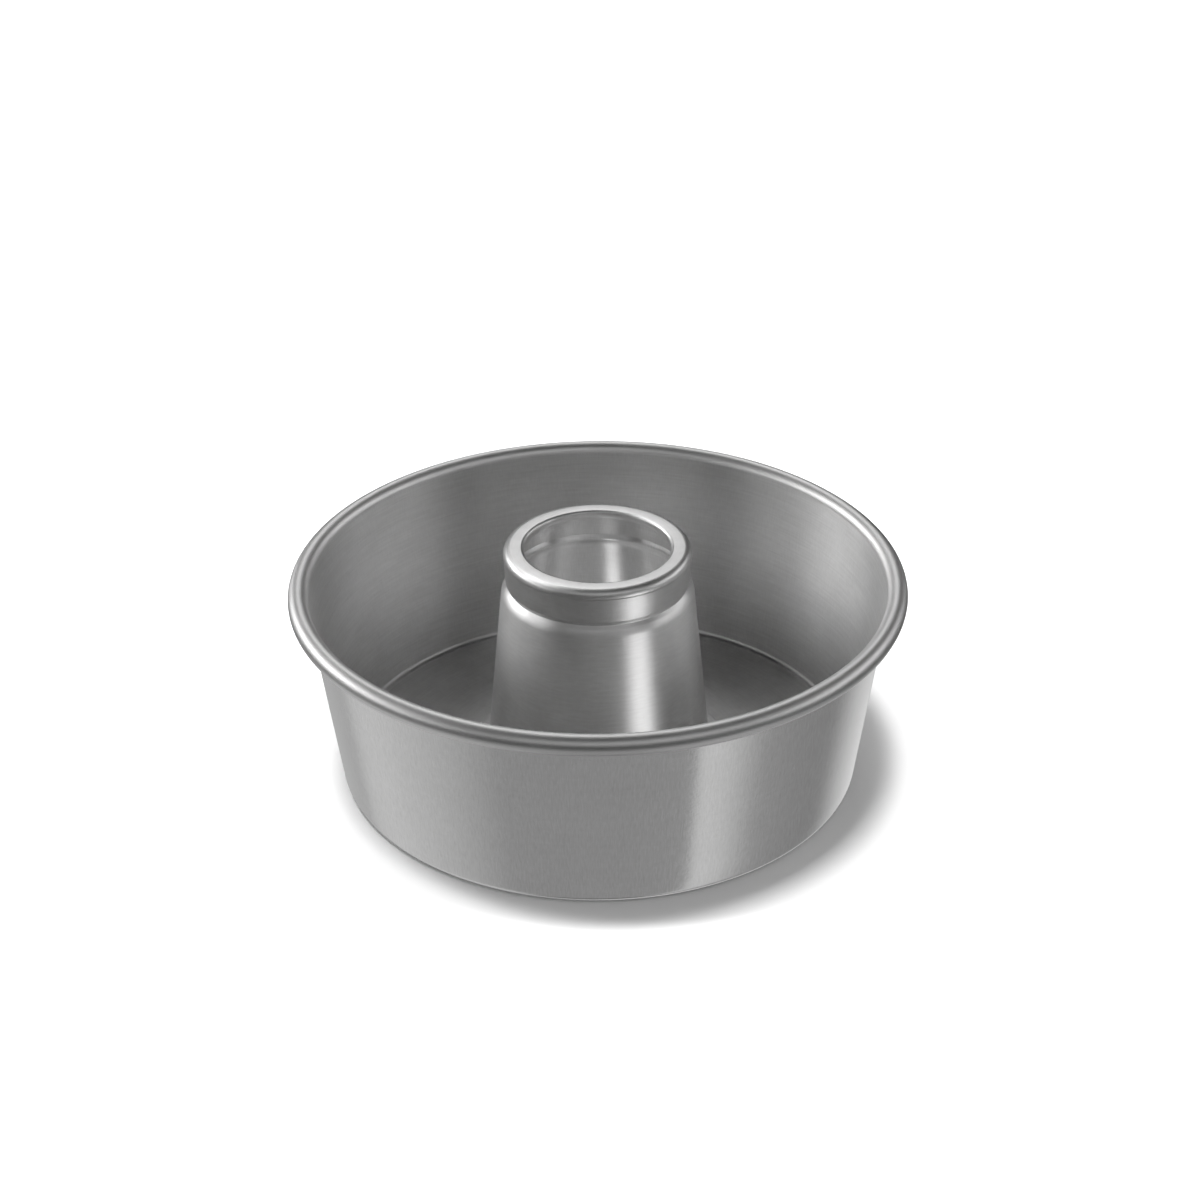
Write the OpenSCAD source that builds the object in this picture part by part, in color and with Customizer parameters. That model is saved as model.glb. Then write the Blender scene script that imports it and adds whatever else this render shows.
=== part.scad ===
// Angel food cake pan with a fixed floor.
// The pan is one drawn sheet, from the hole in its floor, up the flared wall and round a rim wire.
// The centre tube is a second drawn sheet, staked through the hole in the floor of the pan.
// The origin is the centre of the base, on the surface that the pan stands on, and +Z is up.

/* [Pan] */
// Overall diameter across the rolled rim
rim_d = 203.2; // [190:0.1:260]
// Height from the base to the top of the rolled rim
pan_h = 69.7; // [45:0.1:110]
// Diameter of the base, where the outer line of the wall meets the surface below
base_d = 173.3; // [130:0.1:186]
// Thickness of the sheet of the pan and of the tube
sheet_t = 0.9; // [0.6:0.05:1.2]
// Outer radius of the bend between the floor and the wall
foot_r = 3; // [1.5:0.1:8]

/* [Rim] */
// Diameter of the wire inside the rolled rim
wire_d = 4.76; // [3:0.01:6.5]
// Clearance all round the wire
wire_gap = 0.07; // [0.05:0.01:0.3]
// Gap between the free edge of the roll and the outside of the wall
roll_gap = 0.15; // [0.1:0.05:1]

/* [Tube] */
// Height from the base to the flat top of the tube
tube_h = 80.2; // [50:0.1:120]
// Outer diameter of the cone, on the level of the base
cone_base_d = 76.2; // [68:0.1:90]
// Outer diameter of the cone, on the level of the neck
cone_top_d = 63.1; // [62:0.1:67]
// Outer radius of the shoulder between the cone and the neck
shoulder_r = 5; // [2:0.1:6]
// Drop from the neck to the shoulder
shoulder_h = 2.2; // [1.8:0.1:5]
// Diameter at the bottom of the neck groove
neck_d = 59.2; // [57:0.1:60]

/* [Collar] */
// Outer diameter of the collar at its rolled top edge
collar_d = 61.9; // [61.2:0.1:66]
// Outer diameter of the collar at its foot
collar_foot_d = 60.9; // [60.2:0.1:61.4]
// Height of the collar, from the neck to the flat top
collar_h = 13.1; // [9:0.1:25]
// Height of the turned-in foot of the collar above the neck
collar_foot_h = 1.5; // [1:0.1:3]
// Outer radius of the rolled top edge
top_edge_r = 2.6; // [1.5:0.1:3.5]
// How far the rolled top edge stands out from the band below it
top_edge_step = 0.2; // [0.1:0.05:0.5]

/* [Mouth] */
// Diameter of the open mouth of the tube
mouth_d = 48.15; // [30:0.05:52]
// Depth of the lip that is turned down inside the mouth
lip_h = 2.6; // [2.4:0.1:5]
// Outer radius of the edge between the flat top and the lip
mouth_edge_r = 1.2; // [0.9:0.1:1.6]

/* [Floor seat] */
// Width of the flange of the tube below the floor
flange_w = 4; // [2.5:0.1:8]
// Height of the flange above the surface that the pan stands on
flange_lift = 0.3; // [0.1:0.05:1]
// Clearance between the tube and the hole in the floor
seat_gap = 0.2; // [0.2:0.05:0.5]
// Room between the edge of the flange and the step down to the floor
seat_margin = 1; // [0.5:0.1:4]
// How far the locking bead stands out from the tube, above the floor
lock_bead = 1; // [0.5:0.1:1.5]
// Height of the locking bead
lock_bead_h = 3; // [2.6:0.1:5]

/* [Hidden] */

// Turned shapes
turn_fn = 180;
wire_fn = 48;
arc_step = 8;

// Bend radii on the middle line of the sheet
half_t = sheet_t / 2;
small_bend = half_t + 0.25;
sharp_bend = half_t + 0.15;
seat_bend = half_t + 0.6;

// Rolled rim: its core holds the wire, and its middle line runs round the core
core_r = wire_d / 2 + wire_gap;
roll_r = core_r + half_t;
rim_c = [rim_d / 2 - core_r - sheet_t, pan_h - core_r - sheet_t];
roll_open = acos((core_r - roll_gap) / (core_r + sheet_t));
roll_sweep = roll_open - 360;

// Wall: its outer line leaves the edge of the base and touches the core of the rim
base_edge = [base_d / 2, 0];
to_rim = rim_c - base_edge;
wall_a = atan2(to_rim[1], to_rim[0]) + asin(core_r / norm(to_rim));
wall_dir = [cos(wall_a), sin(wall_a)];
wall_in = [-wall_dir[1], wall_dir[0]];
wall_foot = base_edge + half_t * wall_in + half_t * (1 - wall_dir[0]) / wall_dir[1] * wall_dir;
wall_top = rim_c + roll_r * wall_in;

// Cone of the tube: outer radius and middle radius at a height
neck_z = tube_h - collar_h;
cone_slope = (cone_base_d - cone_top_d) / 2 / neck_z;
function cone_r(z) = cone_base_d / 2 - cone_slope * z;
function cone_mid(z) = cone_r(z) - half_t * sqrt(1 + cone_slope * cone_slope);

// Seat of the tube: a raised ring of the floor lies on the flange, below the locking bead
seat_z = flange_lift + sheet_t + half_t;
seat_top = seat_z + half_t;
hole_r = cone_r(seat_top);
shank_mid = hole_r - seat_gap - half_t;
flange_r = hole_r + flange_w;
seat_r = flange_r + seat_margin + half_t;
step_run = seat_z - half_t;

// Straight sheet lines as [point, bend radius], with the show face on the left
pan_line = [
    [[hole_r, seat_z], 0],
    [[seat_r, seat_z], seat_bend],
    [[seat_r + step_run, half_t], seat_bend],
    [wall_foot, foot_r - half_t],
    [wall_top, 0]
];
tube_line = [
    [[mouth_d / 2 + half_t, tube_h - lip_h], 0],
    [[mouth_d / 2 + half_t, tube_h - half_t], mouth_edge_r - half_t],
    [[collar_d / 2 - half_t, tube_h - half_t], top_edge_r - half_t],
    [[collar_d / 2 - half_t, tube_h - top_edge_r - top_edge_step], sharp_bend],
    [[collar_d / 2 - half_t - top_edge_step, tube_h - top_edge_r - 3 * top_edge_step], sharp_bend],
    [[collar_foot_d / 2 - half_t, neck_z + collar_foot_h], small_bend],
    [[neck_d / 2 - half_t, neck_z], small_bend],
    [[cone_mid(neck_z - shoulder_h), neck_z - shoulder_h], shoulder_r - half_t],
    [[cone_mid(seat_top + lock_bead_h), seat_top + lock_bead_h], small_bend],
    [[cone_mid(seat_top) + lock_bead, seat_top + lock_bead_h / 2], small_bend],
    [[shank_mid, seat_top], small_bend],
    [[shank_mid, flange_lift + half_t], sharp_bend],
    [[flange_r, flange_lift + half_t], 0]
];

// Geometry of a bent sheet
function unit(v) = v / norm(v);
function left_of(v) = [-v[1], v[0]];
function reversed(list) = [for (i = [len(list) - 1 : -1 : 0]) list[i]];

// Points on an arc about a centre
function arc(centre, r, from, sweep) =
    let (n = max(1, ceil(abs(sweep) / arc_step)))
    [for (i = [0 : n]) centre + r * [cos(from + sweep * i / n), sin(from + sweep * i / n)]];

// Arc of radius r that rounds the corner b between a and c
function rounded(a, b, c, r) =
    let (
        u = unit(a - b),
        v = unit(c - b),
        half = acos(u * v) / 2,
        centre = b + unit(u + v) * r / sin(half),
        start = b + u * r / tan(half) - centre,
        stop = b + v * r / tan(half) - centre,
        from = atan2(start[1], start[0]),
        sweep = (atan2(stop[1], stop[0]) - from + 540) % 360 - 180
    )
    arc(centre, r, from, sweep);

// Corners of a line, moved to its left by d
function moved(line, d) =
    let (last = len(line) - 1)
    [
        for (i = [0 : last])
        let (
            before = left_of(unit(line[max(i, 1)][0] - line[max(i, 1) - 1][0])),
            after = left_of(unit(line[min(i, last - 1) + 1][0] - line[min(i, last - 1)][0]))
        )
        line[i][0] + d * (before + after) / (1 + before * after)
    ];

// One face of the sheet, at d to the left of its line, with its bends
function face(line, d) =
    let (corners = moved(line, d), last = len(line) - 1)
    [
        corners[0],
        for (i = [1 : last - 1])
        let (left = cross(line[i][0] - line[i - 1][0], line[i + 1][0] - line[i][0]) > 0)
        each rounded(corners[i - 1], corners[i], corners[i + 1], line[i][1] - (left ? d : -d)),
        corners[last]
    ];

// One face of the rolled rim, at d outside the middle line of the roll
function roll_face(d) = arc(rim_c, roll_r + d, wall_a + 90, roll_sweep);

// Pan: raised seat, floor, bend, flared wall and rolled rim, in one sheet
module pan_body() {
    show_face = concat(face(pan_line, half_t), roll_face(half_t));
    back_face = concat(face(pan_line, -half_t), roll_face(-half_t));
    color([0.74, 0.74, 0.75])
        rotate_extrude($fn = turn_fn)
            polygon(concat(show_face, reversed(back_face)));
}

// Steel wire that stiffens the rolled rim
module rim_wire() {
    color([0.55, 0.56, 0.58])
        rotate_extrude($fn = turn_fn)
            translate(rim_c)
                circle(d = wire_d, $fn = wire_fn);
}

// Tube: turned-down lip, collar, neck, cone, locking bead and flange, in one sheet
module centre_tube() {
    color([0.78, 0.78, 0.79])
        rotate_extrude($fn = turn_fn)
            polygon(concat(face(tube_line, half_t), reversed(face(tube_line, -half_t))));
}

pan_body();
rim_wire();
centre_tube();
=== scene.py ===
# Angel food cake pan: the finished looks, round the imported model
import math

import bmesh
import bpy
from mathutils import Matrix, Vector


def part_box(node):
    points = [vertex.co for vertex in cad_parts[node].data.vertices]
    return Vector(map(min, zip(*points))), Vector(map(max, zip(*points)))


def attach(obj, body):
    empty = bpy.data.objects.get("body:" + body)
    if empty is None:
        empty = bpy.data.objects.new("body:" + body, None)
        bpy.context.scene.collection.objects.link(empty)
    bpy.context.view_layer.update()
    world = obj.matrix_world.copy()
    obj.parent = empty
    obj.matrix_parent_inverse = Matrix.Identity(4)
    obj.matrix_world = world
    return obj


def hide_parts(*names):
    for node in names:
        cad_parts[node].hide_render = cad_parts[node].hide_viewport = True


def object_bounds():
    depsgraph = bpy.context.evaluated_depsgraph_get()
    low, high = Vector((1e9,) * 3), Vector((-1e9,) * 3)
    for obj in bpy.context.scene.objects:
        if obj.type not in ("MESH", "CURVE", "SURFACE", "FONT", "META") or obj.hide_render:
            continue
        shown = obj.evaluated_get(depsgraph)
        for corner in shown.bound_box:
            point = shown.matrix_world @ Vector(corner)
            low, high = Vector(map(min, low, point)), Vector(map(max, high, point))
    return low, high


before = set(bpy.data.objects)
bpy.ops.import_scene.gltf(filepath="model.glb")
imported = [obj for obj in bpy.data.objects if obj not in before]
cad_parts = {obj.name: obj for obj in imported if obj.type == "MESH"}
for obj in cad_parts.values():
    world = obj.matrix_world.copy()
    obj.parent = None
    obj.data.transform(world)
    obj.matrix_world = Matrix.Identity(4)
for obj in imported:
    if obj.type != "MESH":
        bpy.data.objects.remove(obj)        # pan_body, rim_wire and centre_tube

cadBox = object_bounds()
mm = 0.001
backFaces = 4            # finishes of the show face, before those of the back

# how finely the sheets are made, with lengths in millimetres
sheetDetail = {
    "turnSteps": 256,                  # segments all the way round
    "bendStep": math.radians(7),       # longest step round a bend
    "longestPanRun": 5,                # rows along the straight runs are no further apart
    "longestTubeRun": 4,
    "doublesWithin": 0.002,
    "cutEdgeWidth": 0.12,              # the small bevel on the cut edges of the sheet
    "cutEdgeAngle": math.radians(50),
}


# Sheet metal: a bent line in the XZ plane, spun round the axis and given its thickness

def bentLine(bm, corners):
    # corners are (radius, height, bend radius) in millimetres, on the middle line of the sheet
    points = [Vector((x, 0, z)) * mm for x, z, bend in corners]
    verts = [bm.verts.new(p) for p in points]
    for pair in zip(verts, verts[1:]):
        bm.edges.new(pair)
    for i in range(1, len(corners) - 1):
        turn = math.pi - (points[i - 1] - points[i]).angle(points[i + 1] - points[i])
        if turn < 0.001:
            continue
        bmesh.ops.bevel(bm, geom=[verts[i]], offset=corners[i][2] * mm * math.tan(turn / 2),
                        offset_type="OFFSET", segments=max(2, math.ceil(turn / sheetDetail["bendStep"])),
                        profile=0.5, affect="VERTICES", material=-1)


def lineEnd(bm, x, z):
    # the loose end of the line nearest to a radius and a height in millimetres
    ends = [v for v in bm.verts if len(v.link_edges) == 1]
    return min(ends, key=lambda v: (v.co - Vector((x, 0, z)) * mm).length)


def splitLongRuns(bm, longest):
    # rows along the straight runs keep the shading and the bump even
    for edge in bm.edges[:]:
        cuts = math.ceil(edge.calc_length() / (longest * mm)) - 1
        if cuts > 0:
            bmesh.ops.subdivide_edges(bm, edges=[edge], cuts=cuts)


def storeReach(bm, x, z):
    # reach is the way along the sheet from the axis, which the grain in the materials follows
    layer = bm.verts.layers.float.new("reach")
    vert, came = lineEnd(bm, x, z), None
    reach = vert.co.x
    while vert:
        vert[layer] = reach
        way = [e for e in vert.link_edges if e is not came]
        came = way[0] if way else None
        vert = came.other_vert(vert) if came else None
        reach += came.calc_length() if came else 0


def spinSheet(bm, name, thickness, upAt, finishAt):
    # upAt is a radius in millimetres where the show face looks up, finishAt picks a face's material
    bmesh.ops.spin(bm, geom=bm.verts[:] + bm.edges[:], cent=(0, 0, 0), axis=(0, 0, 1),
                   angle=math.tau, steps=sheetDetail["turnSteps"], use_merge=True)
    bmesh.ops.remove_doubles(bm, verts=bm.verts[:], dist=sheetDetail["doublesWithin"] * mm)
    bmesh.ops.recalc_face_normals(bm, faces=bm.faces[:])
    nearest = min(bm.faces, key=lambda f: abs(f.calc_center_median().xy.length - upAt * mm)
                  + (1 if abs(f.normal.z) < 0.99 else 0))
    if nearest.normal.z < 0:
        bmesh.ops.reverse_faces(bm, faces=bm.faces[:])
    for face in bm.faces:
        face.smooth = True
        middle = face.calc_center_median() / mm
        face.material_index = finishAt(middle.xy.length, middle.z)
    mesh = bpy.data.meshes.new(name)
    bm.to_mesh(mesh)
    bm.free()
    piece = bpy.data.objects.new(name, mesh)
    bpy.context.scene.collection.objects.link(piece)
    wall = piece.modifiers.new("thickness", "SOLIDIFY")
    wall.thickness = thickness * mm
    wall.offset = 0
    wall.use_even_offset = True
    wall.material_offset = backFaces
    edge = piece.modifiers.new("cut edges", "BEVEL")
    edge.width = sheetDetail["cutEdgeWidth"] * mm
    edge.segments = 2
    edge.limit_method = "ANGLE"
    edge.angle_limit = sheetDetail["cutEdgeAngle"]
    return piece


# The pan: raised seat, floor, foot bend, flared wall and wired rim, all one sheet

panSizes = {
    "baseDiameter": 173.3,
    "sheetThickness": 0.9,
    "footRadius": 3.0,
    "wireDiameter": 4.76,
    "wireGap": 0.07,
    "rollGap": 0.15,
    "seatMargin": 1.0,
    "floorRadius": 65.0,     # a place on the plain floor, which looks up
}

# The tube: turned-down lip, flat top ring, collar, neck groove, cone, locking bead and flange

tubeSizes = {
    "coneBaseDiameter": 76.2,
    "coneTopDiameter": 63.1,
    "shoulderRadius": 5.0,
    "shoulderDrop": 2.2,
    "neckDiameter": 59.2,
    "collarDiameter": 61.9,
    "collarFootDiameter": 60.9,
    "collarHeight": 13.1,
    "collarFootHeight": 1.5,
    "topEdgeRadius": 2.6,
    "topEdgeStep": 0.2,
    "mouthDiameter": 48.15,
    "lipHeight": 2.6,
    "mouthEdgeRadius": 1.2,
    "flangeWidth": 4.0,
    "flangeLift": 0.3,
    "seatGap": 0.2,
    "lockBead": 1.0,
    "lockBeadHeight": 3.0,
}

halfSheet = panSizes["sheetThickness"] / 2
rimRadius = (cadBox[1].x - cadBox[0].x) / 2 / mm
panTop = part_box("pan_body")[1].z / mm
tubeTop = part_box("centre_tube")[1].z / mm
neckHeight = tubeTop - tubeSizes["collarHeight"]
coneSlope = (tubeSizes["coneBaseDiameter"] - tubeSizes["coneTopDiameter"]) / 2 / neckHeight
seatHeight = tubeSizes["flangeLift"] + panSizes["sheetThickness"] + halfSheet
seatTop = seatHeight + halfSheet


def coneRadius(z):
    return tubeSizes["coneBaseDiameter"] / 2 - coneSlope * z


def coneMiddle(z):
    return coneRadius(z) - halfSheet * math.hypot(1, coneSlope)


def makePan():
    s = panSizes
    core = s["wireDiameter"] / 2 + s["wireGap"]
    roll = core + halfSheet
    rimCentre = Vector((rimRadius - core - s["sheetThickness"], panTop - core - s["sheetThickness"]))
    baseEdge = Vector((s["baseDiameter"] / 2, 0))
    toRim = rimCentre - baseEdge
    wallAngle = math.atan2(toRim.y, toRim.x) + math.asin(core / toRim.length)
    wallWay = Vector((math.cos(wallAngle), math.sin(wallAngle)))
    wallIn = Vector((-wallWay.y, wallWay.x))
    foot = baseEdge + halfSheet * wallIn + halfSheet * (1 - wallWay.x) / wallWay.y * wallWay
    wallTop = rimCentre + roll * wallIn
    seatEdge = coneRadius(seatTop) + tubeSizes["flangeWidth"] + s["seatMargin"] + halfSheet
    seatBend = halfSheet + 0.6
    bm = bmesh.new()
    bentLine(bm, [
        (coneRadius(seatTop), seatHeight, 0),
        (seatEdge, seatHeight, seatBend),
        (seatEdge + seatHeight - halfSheet, halfSheet, seatBend),
        (foot.x, foot.y, s["footRadius"] - halfSheet),
        (wallTop.x, wallTop.y, 0),
    ])
    splitLongRuns(bm, sheetDetail["longestPanRun"])
    sweep = math.tau - math.acos((core - s["rollGap"]) / (core + s["sheetThickness"]))
    end = lineEnd(bm, *wallTop)
    bmesh.ops.spin(bm, geom=[end], cent=(rimCentre.x * mm, 0, rimCentre.y * mm), axis=(0, 1, 0),
                   angle=sweep, steps=math.ceil(sweep / sheetDetail["bendStep"]))
    storeReach(bm, coneRadius(seatTop), seatHeight)

    def finishAt(r, z):
        # wall, rolled rim, floor or the bend between the two
        if abs((Vector((r, z)) - rimCentre).length - roll) < 0.1:
            return 1
        if r < s["baseDiameter"] / 2 - s["footRadius"]:
            return 2
        return 3 if z < s["footRadius"] * 0.8 else 0

    return spinSheet(bm, "drawn_pan", s["sheetThickness"], s["floorRadius"], finishAt)


def makeTube():
    s = tubeSizes
    sharp, small = halfSheet + 0.15, halfSheet + 0.25
    mouth = s["mouthDiameter"] / 2 + halfSheet
    band = s["collarDiameter"] / 2 - halfSheet
    shank = coneRadius(seatTop) - s["seatGap"] - halfSheet
    shoulder = neckHeight - s["shoulderDrop"]
    beadTop = seatTop + s["lockBeadHeight"]
    flange = s["flangeLift"] + halfSheet
    bm = bmesh.new()
    bentLine(bm, [
        (mouth, tubeTop - s["lipHeight"], 0),
        (mouth, tubeTop - halfSheet, s["mouthEdgeRadius"] - halfSheet),
        (band, tubeTop - halfSheet, s["topEdgeRadius"] - halfSheet),
        (band, tubeTop - s["topEdgeRadius"] - s["topEdgeStep"], sharp),
        (band - s["topEdgeStep"], tubeTop - s["topEdgeRadius"] - 3 * s["topEdgeStep"], sharp),
        (s["collarFootDiameter"] / 2 - halfSheet, neckHeight + s["collarFootHeight"], small),
        (s["neckDiameter"] / 2 - halfSheet, neckHeight, small),
        (coneMiddle(shoulder), shoulder, s["shoulderRadius"] - halfSheet),
        (coneMiddle(beadTop), beadTop, small),
        (coneMiddle(seatTop) + s["lockBead"], (seatTop + beadTop) / 2, small),
        (shank, seatTop, small),
        (shank, flange, sharp),
        (coneRadius(seatTop) + s["flangeWidth"], flange, 0),
    ])
    splitLongRuns(bm, sheetDetail["longestTubeRun"])
    storeReach(bm, mouth, tubeTop - s["lipHeight"])

    def finishAt(r, z):
        # cone, flat top ring, collar or the foot in the floor
        if z > tubeTop - halfSheet - 0.1:
            return 1
        if z > neckHeight:
            return 2
        return 3 if z < beadTop else 0

    return spinSheet(bm, "drawn_tube", panSizes["sheetThickness"], (mouth + band) / 2, finishAt)


# Shader sums: a wrapped socket adds its own Math nodes

class Value:
    def __init__(self, paint, socket):
        self.paint, self.socket = paint, socket

    def sum(self, operation, other, swap=False):
        pair = [other, self] if swap else [self, other]
        return self.paint.node("ShaderNodeMath", {"operation": operation}, pair)

    def __add__(self, other):
        return self.sum("ADD", other)

    def __radd__(self, other):
        return self.sum("ADD", other, True)

    def __sub__(self, other):
        return self.sum("SUBTRACT", other)

    def __rsub__(self, other):
        return self.sum("SUBTRACT", other, True)

    def __mul__(self, other):
        return self.sum("MULTIPLY", other)

    def __rmul__(self, other):
        return self.sum("MULTIPLY", other, True)


class Paint:
    # the nodes of a material or of the world, and the one method that adds any of them
    def __init__(self, owner):
        self.owner = owner
        owner.use_nodes = True
        self.tree = owner.node_tree
        self.tree.nodes.clear()

    def node(self, kind, settings, inputs, output=0):
        made = self.tree.nodes.new(kind)
        for key, value in settings.items():
            setattr(made, key, value)
        named = inputs.items() if isinstance(inputs, dict) else enumerate(inputs)
        for key, value in named:
            if isinstance(value, Value):
                self.tree.links.new(value.socket, made.inputs[key])
            elif value is not None:
                made.inputs[key].default_value = value
        return Value(self, made.outputs[output]) if made.outputs else None

    def split(self, vector):
        apart = self.node("ShaderNodeSeparateXYZ", {}, [vector]).socket.node
        return [Value(self, socket) for socket in apart.outputs]

    def join(self, x, y, z):
        return self.node("ShaderNodeCombineXYZ", {}, [x, y, z])

    def vector(self, operation, first, second=None, output=0):
        return self.node("ShaderNodeVectorMath", {"operation": operation}, [first, second], output)

    def noise(self, vector, detail=2.0, roughness=0.5):
        inputs = {"Vector": vector, "Scale": 1.0, "Detail": detail, "Roughness": roughness}
        return self.node("ShaderNodeTexNoise", {}, inputs, "Fac")

    def between(self, value, low, high, start=0.0, end=1.0, kind="SMOOTHSTEP"):
        inputs = {"Value": value, "From Min": low, "From Max": high, "To Min": start, "To Max": end}
        return self.node("ShaderNodeMapRange", {"interpolation_type": kind}, inputs)

    def tint(self, factor, first, second):
        inputs = {"Factor": factor, 6: (*first, 1), 7: (*second, 1)}
        return self.node("ShaderNodeMix", {"data_type": "RGBA"}, inputs, 2)

    def bump(self, height, depth):
        # depth is how many micrometres the height from 0 to 1 stands for
        inputs = {"Strength": 1.0, "Distance": depth * 1e-6, "Height": height}
        return self.node("ShaderNodeBump", {}, inputs)


# Sheet finishes: fine lines round the pan and up its walls, from forming and polishing

sheetFinish = {
    "lineRadius": 95.0,       # radius in millimetres at which the grain is measured
    "bright": (1.15, 1.15, 1.15),
    "dull": (0.855, 0.85, 0.845),
    "upScale": (2.2, 0.35),        # lines for each millimetre round the pan, and along the sheet
    "roundScale": (0.07, 1.5),
    "needleScale": (0.8, 1.6),
    "mottleScale": (0.06, 0.08),
    "roughSwing": 0.06,            # how much the roughness follows the shade
}

wallOutside = {"colour": 0.8, "roughness": 0.14, "anisotropic": 1.0, "upLines": 1.0,
               "roundLines": 0.3, "grainDepth": 14, "mottle": 0.3}
wallInside = {"colour": 0.8, "roughness": 0.46, "anisotropic": 0.85, "upLines": 0.5,
              "roundLines": 0.8, "grainDepth": 12, "mottle": 0.5}
panFloor = {"colour": 0.8, "roughness": 0.5, "anisotropic": 0.8, "upLines": 0.4,
            "roundLines": 0.6, "grainDepth": 10, "mottle": 0.8}
# the foot bend's colour, lighter than the wall's, is partly a painted highlight that brightens the bright
# line along the bend; its smoother finish is real
footBend = {"colour": 0.85, "roughness": 0.35, "anisotropic": 0.4, "upLines": 0.2,
            "roundLines": 0.2, "grainDepth": 6, "mottle": 0.6}
rimFinish = {"colour": 0.88, "roughness": 0.5, "anisotropic": 0.0, "upLines": 0.1,
             "roundLines": 0.5, "grainDepth": 10, "mottle": 0.5}
tubeCone = {"colour": 0.8, "roughness": 0.42, "anisotropic": 0.7, "upLines": 0.2,
            "roundLines": 0.7, "grainDepth": 12, "mottle": 0.4}
# the top ring's colour, much darker than the rest of the same sheet, is painted shade that dims the flat
# top under the lights overhead; its rougher, matt finish is real
tubeTopRing = {"colour": 0.63, "roughness": 0.36, "anisotropic": 0.2, "upLines": 0.2,
               "roundLines": 0.5, "grainDepth": 8, "mottle": 0.8}
tubeCollar = {"colour": 0.76, "roughness": 0.42, "anisotropic": 0.3, "upLines": 0.4,
              "roundLines": 0.5, "grainDepth": 10, "mottle": 0.4}
tubeInside = {"colour": 0.8, "roughness": 0.34, "anisotropic": 0.9, "upLines": 1.0,
              "roundLines": 0.5, "grainDepth": 10, "mottle": 0.5}


def sheetMetal(name, f):
    paint = Paint(bpy.data.materials.new(name))
    place = paint.node("ShaderNodeTexCoord", {}, {}, "Object")
    reach = paint.node("ShaderNodeAttribute", {"attribute_name": "reach"}, {}, "Fac")
    x, y, z = paint.split(place)
    x, y, z = paint.split(paint.vector("NORMALIZE", paint.join(x, y, 0.0)))
    radius = sheetFinish["lineRadius"]
    x, y, along = x * radius, y * radius, reach * 1000.0

    def lines(scale, detail, roughness):
        wayRound, wayAlong = sheetFinish[scale]
        return paint.noise(paint.join(x * wayRound, y * wayRound, along * wayAlong), detail, roughness)

    upLines = lines("upScale", 2.0, 0.5)
    roundLines = lines("roundScale", 3.0, 0.6)
    needles = lines("needleScale", 2.0, 0.55)
    mottle = lines("mottleScale", 3.0, 0.55)
    shade = ((upLines - 0.5) * f["upLines"] + (roundLines - 0.5) * f["roundLines"]
             + (mottle - 0.5) * f["mottle"])
    bright, dull = [[f["colour"] * part for part in sheetFinish[key]] for key in ("bright", "dull")]
    colour = paint.tint(0.5 - shade, bright, dull)
    rough = f["roughness"] + shade * sheetFinish["roughSwing"]
    grain = paint.bump(needles, f["grainDepth"])
    shader = paint.node("ShaderNodeBsdfPrincipled", {}, {
        "Base Color": colour, "Metallic": 1.0, "Roughness": rough, "Normal": grain,
        "Anisotropic": f["anisotropic"], "Anisotropic Rotation": 0.25})
    paint.node("ShaderNodeOutputMaterial", {}, [shader])
    return paint.owner


def wireMetal():
    # plain drawn steel, closed in by the roll
    paint = Paint(bpy.data.materials.new("drawn wire"))
    place = paint.node("ShaderNodeTexCoord", {}, {}, "Object")
    lines = paint.noise(paint.vector("MULTIPLY", place, (900.0, 900.0, 900.0)), 2.0)
    shader = paint.node("ShaderNodeBsdfPrincipled", {}, {
        "Base Color": paint.tint(lines, (0.5, 0.5, 0.52), (0.6, 0.6, 0.61)), "Metallic": 1.0,
        "Roughness": 0.3 + lines * 0.1, "Normal": paint.bump(lines, 4)})
    paint.node("ShaderNodeOutputMaterial", {}, [shader])
    return paint.owner


print("making the pan and the tube")
panPiece = makePan()
tubePiece = makeTube()

print("making the finishes")
panShow = [("wall inside", wallInside), ("rolled rim", rimFinish), ("pan floor", panFloor),
           ("foot bend", footBend)]
panBack = [("wall outside", wallOutside), ("rim inside", rimFinish), ("pan underside", wallOutside),
           ("foot outside", wallOutside)]
tubeShow = [("tube cone", tubeCone), ("tube top ring", tubeTopRing), ("tube collar", tubeCollar),
            ("tube foot", tubeCone)]
tubeBack = [("tube inside", tubeInside), ("ring underside", tubeInside), ("collar inside", tubeInside),
            ("flange underside", tubeInside)]
for piece, finishes in ((panPiece, panShow + panBack), (tubePiece, tubeShow + tubeBack)):
    for name, finish in finishes:
        piece.data.materials.append(sheetMetal(name, finish))
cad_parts["rim_wire"].material_slots[0].material = wireMetal()

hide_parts("pan_body")
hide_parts("centre_tube")
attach(panPiece, "root")
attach(tubePiece, "root")


# Camera: the photo's place and lens

cameraSizes = {
    "place": (0, -727.9, 474.4),
    "lookAt": (0.7, 0, 59.7),
    "rollDegrees": -0.42,
    "lens": 76.05,
    "sensor": 36,
}


def makeCamera():
    c = cameraSizes
    data = bpy.data.cameras.new("camera")
    data.lens = c["lens"]
    data.sensor_width = c["sensor"]
    data.clip_start = 0.01
    camera = bpy.data.objects.new("camera", data)
    bpy.context.scene.collection.objects.link(camera)
    place, lookAt = Vector(c["place"]) * mm, Vector(c["lookAt"]) * mm
    aim = (lookAt - place).to_track_quat("-Z", "Y").to_matrix()
    roll = Matrix.Rotation(math.radians(c["rollDegrees"]), 3, "Z")
    camera.matrix_world = Matrix.Translation(place) @ (aim @ roll).to_4x4()
    bpy.context.scene.camera = camera


# Studio: a white floor with its lights overhead, lights on the tube alone, and soft cards all round

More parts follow.
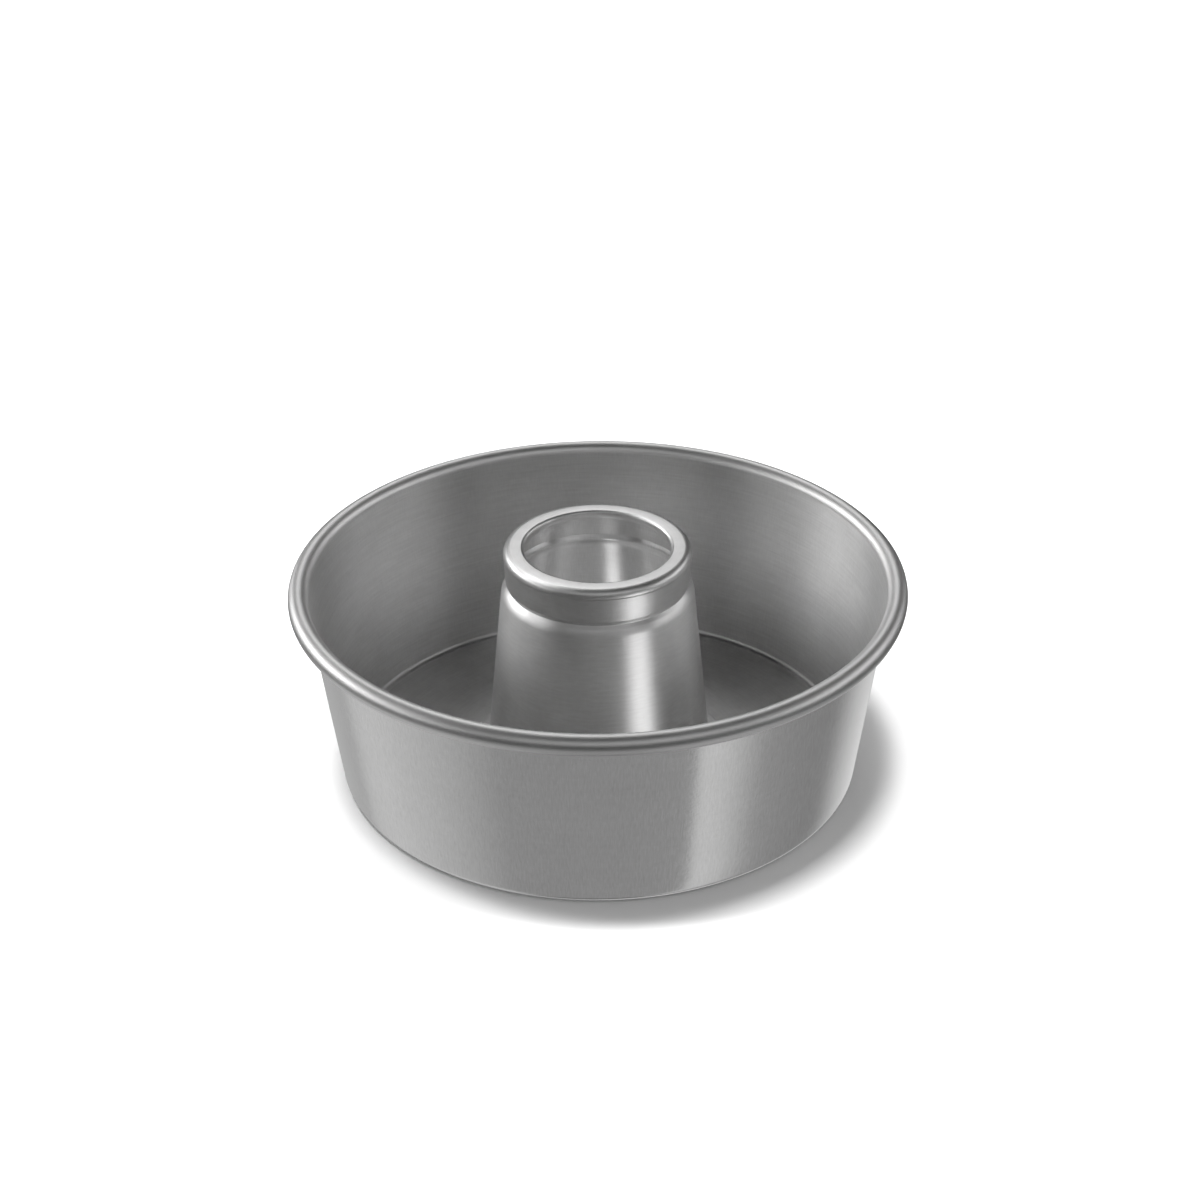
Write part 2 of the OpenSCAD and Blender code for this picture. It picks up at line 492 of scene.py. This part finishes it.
studioSizes = {
    "floorHalf": 12.0,
    "floorColour": (0.86, 0.86, 0.86),
    "glowStart": 1.0,        # the floor glows from here, in metres, so that it stays white far away
    "glowEnd": 1.6,
    "tableTop": (-35, -20),      # height in degrees where the table's light ends
    "tableBelow": (-82, -70),    # and where it dims, straight down
    "lightBelow": 0.35,
}

# soft lights overhead for the floor: place in metres, width and watts
floorLights = [
    {"place": (0.12, -0.114, 1.9), "wide": 0.3, "watts": 28},
    {"place": (-0.5, -0.114, 1.9), "wide": 0.3, "watts": 28},
    {"place": (0, 0, 2.2), "wide": 3.0, "watts": 26},
]

# lights on the tube alone: way round and height in degrees, distance, width, tallness and watts
tubeLights = [
    {"way": -44, "up": -22, "far": 1.0, "wide": 0.4, "tall": 0.5, "watts": 1.4},
    {"way": 150, "up": 55, "far": 1.0, "wide": 0.9, "tall": 0.35, "watts": 2.3},
]
boreLight = {"way": -112, "up": -44, "far": 0.6, "wide": 0.13, "tall": 0.3, "watts": 0.3}

# cards: way round from the right and height above the floor, width, tallness and softness, in
# degrees, the part of the light that fades across the width, and the light
studioCards = [
    {"way": 174, "up": 17.5, "wide": 75, "tall": 13, "soft": 7, "fade": 0.62, "light": 4.9},
    {"way": 94, "up": 42, "wide": 30, "tall": 31, "soft": 8, "fade": 0.14, "light": 2.5},
    {"way": 10, "up": 20, "wide": 68, "tall": 9, "soft": 16, "fade": 0, "light": 3.8},
    {"way": -87, "up": 39, "wide": 107, "tall": 28, "soft": 10, "fade": -1, "light": 0.5},
    {"way": 147, "up": 22, "wide": 46, "tall": 14, "soft": 6, "fade": -0.95, "light": 2.4},
]

# the table top as the walls reflect it: way round in degrees and light, with two sharp edges
tableLights = [(-180, 0.67), (-160, 0.56), (-135, 0.385), (-110, 0.37), (-70, 0.375),
               (-45.3, 0.38), (-44.7, 0.84), (-30, 0.74), (-12, 0.41), (8, 0.34), (30, 0.3),
               (50, 0.74), (75, 1.05), (105, 0.64), (138.7, 0.52), (139.3, 0.72), (157, 0.78),
               (180, 0.67)]


def makeFloor():
    bm = bmesh.new()
    bmesh.ops.create_grid(bm, x_segments=1, y_segments=1, size=studioSizes["floorHalf"])
    bmesh.ops.translate(bm, verts=bm.verts[:], vec=(0, 0, -0.05 * mm))
    mesh = bpy.data.meshes.new("floor")
    bm.to_mesh(mesh)
    bm.free()
    floor = bpy.data.objects.new("floor", mesh)
    bpy.context.scene.collection.objects.link(floor)
    paint = Paint(bpy.data.materials.new("white floor"))
    away = paint.vector("LENGTH", paint.node("ShaderNodeTexCoord", {}, {}, "Object"), output="Value")
    glow = paint.between(away, studioSizes["glowStart"], studioSizes["glowEnd"])
    matt = paint.node("ShaderNodeBsdfDiffuse", {}, {"Color": (*studioSizes["floorColour"], 1)})
    lit = paint.node("ShaderNodeEmission", {}, {"Color": (1, 1, 1, 1), "Strength": 1.0})
    shader = paint.node("ShaderNodeMixShader", {}, [glow, matt, lit])
    paint.node("ShaderNodeOutputMaterial", {}, [shader])
    mesh.materials.append(paint.owner)
    floor.visible_glossy = False      # the metal shows the studio's cards in its place


def makeLight(name, place, wide, tall, watts):
    data = bpy.data.lights.new(name, "AREA")
    data.shape = "RECTANGLE"
    data.size, data.size_y = wide, tall
    data.energy = watts
    light = bpy.data.objects.new(name, data)
    bpy.context.scene.collection.objects.link(light)
    light.matrix_world = Matrix.Translation(place) @ place.to_track_quat("Z", "Y").to_matrix().to_4x4()
    light.visible_camera = False
    return light


def groupOf(name, *pieces):
    group = bpy.data.collections.new(name)
    for piece in pieces:
        group.objects.link(piece)
    return group


def makeLights(pan, tube):
    for spot in floorLights:
        light = makeLight("floor light", Vector(spot["place"]), spot["wide"], spot["wide"], spot["watts"])
        light.visible_glossy = False
    tubeOnly, metal = groupOf("tube only", tube), groupOf("pan and tube", pan, tube)
    for spot in [*tubeLights, boreLight]:
        way, up = math.radians(spot["way"]), math.radians(spot["up"])
        place = Vector((math.cos(up) * math.cos(way), math.cos(up) * math.sin(way), math.sin(up)))
        light = makeLight("tube light", place * spot["far"], spot["wide"], spot["tall"], spot["watts"])
        light.light_linking.receiver_collection = tubeOnly
        light.light_linking.blocker_collection = metal if spot is boreLight else tubeOnly


def softEdge(paint, off, width, soft):
    far = paint.node("ShaderNodeMath", {"operation": "ABSOLUTE"}, [off])
    return paint.between(far, (width - soft) / 2, (width + soft) / 2, 1, 0)


def makeStudio():
    world = bpy.data.worlds.new("studio")
    bpy.context.scene.world = world
    paint = Paint(world)
    x, y, z = paint.split(paint.node("ShaderNodeTexCoord", {}, {}, "Generated"))
    way = paint.node("ShaderNodeMath", {"operation": "ARCTAN2"}, [y, x]) * math.degrees(1)
    up = paint.node("ShaderNodeMath", {"operation": "ARCSINE"}, [z]) * math.degrees(1)
    light = tableLights[0][1]
    for (start, before), (end, after) in zip(tableLights, tableLights[1:]):
        light = light + paint.between(way, start, end, 0, after - before, "LINEAR")
    light = light * paint.between(up, *studioSizes["tableTop"], 1, 0)
    light = light * paint.between(up, *studioSizes["tableBelow"], studioSizes["lightBelow"], 1)
    for card in studioCards:
        off = paint.node("ShaderNodeMath", {"operation": "WRAP"}, [way - card["way"], 180.0, -180.0])
        across = softEdge(paint, off, card["wide"], card["soft"])
        tall = softEdge(paint, up - card["up"], card["tall"], card["soft"])
        ramp = paint.between(off, -card["wide"] / 2, card["wide"] / 2, 1, 1 - card["fade"], "LINEAR")
        light = light + across * tall * ramp * card["light"]
    shader = paint.node("ShaderNodeBackground", {}, {"Strength": light})
    paint.node("ShaderNodeOutputWorld", {}, [shader])


print("setting the camera and the studio")
makeCamera()
makeFloor()
makeLights(panPiece, tubePiece)
makeStudio()
bpy.context.scene.view_settings.view_transform = "Standard"

print("done")
